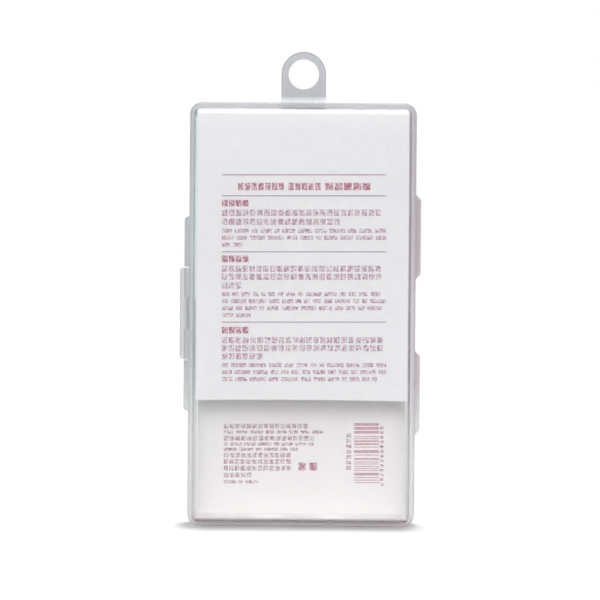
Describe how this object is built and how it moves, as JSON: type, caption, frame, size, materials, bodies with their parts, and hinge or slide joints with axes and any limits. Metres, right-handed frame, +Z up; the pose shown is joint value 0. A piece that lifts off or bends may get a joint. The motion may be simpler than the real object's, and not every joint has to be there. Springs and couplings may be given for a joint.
{
  "type": "eyebrow razor pack",
  "caption": "Upright clear hinged case with a hang tab and snap latch, holding a folded card and capped eyebrow razors with slotted blade guards.",
  "frame": {"origin": "middle of the case's foot, on the parting plane between the two shells", "axes": "+Z up along the standing case to the hang tab, +Y from the back of the case to its front, +X towards the living hinges, with the latch on -X"},
  "size_m": [0.0727, 0.0136, 0.143],
  "materials": {
    "clear_polypropylene": "semi-clear satin",
    "white_card": "coated board",
    "blade_steel": "ground",
    "guard_steel": "bright",
    "clear_cap": "clear gloss",
    "handle_left": "satin",
    "handle_middle": "satin",
    "handle_right": "satin"
  },
  "bodies": {
    "case_back": {"back_shell": "clear_polypropylene", "display_card": "white_card", "hinge_web_upper": "clear_polypropylene", "hinge_web_lower": "clear_polypropylene", "latch_web_upper": "clear_polypropylene", "latch_web_lower": "clear_polypropylene", "handle_left": "handle_left", "blade_left": "blade_steel", "guard_left": "guard_steel", "handle_middle": "handle_middle", "blade_middle": "blade_steel", "guard_middle": "guard_steel", "handle_right": "handle_right", "blade_right": "blade_steel", "guard_right": "guard_steel"},
    "case_front": {"front_shell": "clear_polypropylene"},
    "latch": {"latch": "clear_polypropylene"},
    "cap_left": {"cap_left": "clear_cap"},
    "cap_middle": {"cap_middle": "clear_cap"},
    "cap_right": {"cap_right": "clear_cap"}
  },
  "joints": [
    {"name": "lid_hinge", "type": "hinge", "parent": "case_back", "child": "case_front", "pos_m": [0.03535, 0, 0.0635], "axis": [0, 0, -1], "range_deg": [0, 180], "deforming": ["hinge_web_upper", "hinge_web_lower"]},
    {"name": "latch_hinge", "type": "hinge", "parent": "case_back", "child": "latch", "pos_m": [-0.0345, -0.0043, 0.0635], "axis": [0, 0, 1], "range_deg": [0, 90], "deforming": ["latch_web_upper", "latch_web_lower"]},
    {"name": "cap_slide_left", "type": "slide", "parent": "case_back", "child": "cap_left", "axis": [0, 0, -1], "range_m": [0, 0.03]},
    {"name": "cap_slide_middle", "type": "slide", "parent": "case_back", "child": "cap_middle", "axis": [0, 0, -1], "range_m": [0, 0.03]},
    {"name": "cap_slide_right", "type": "slide", "parent": "case_back", "child": "cap_right", "axis": [0, 0, -1], "range_m": [0, 0.03]}
  ]
}
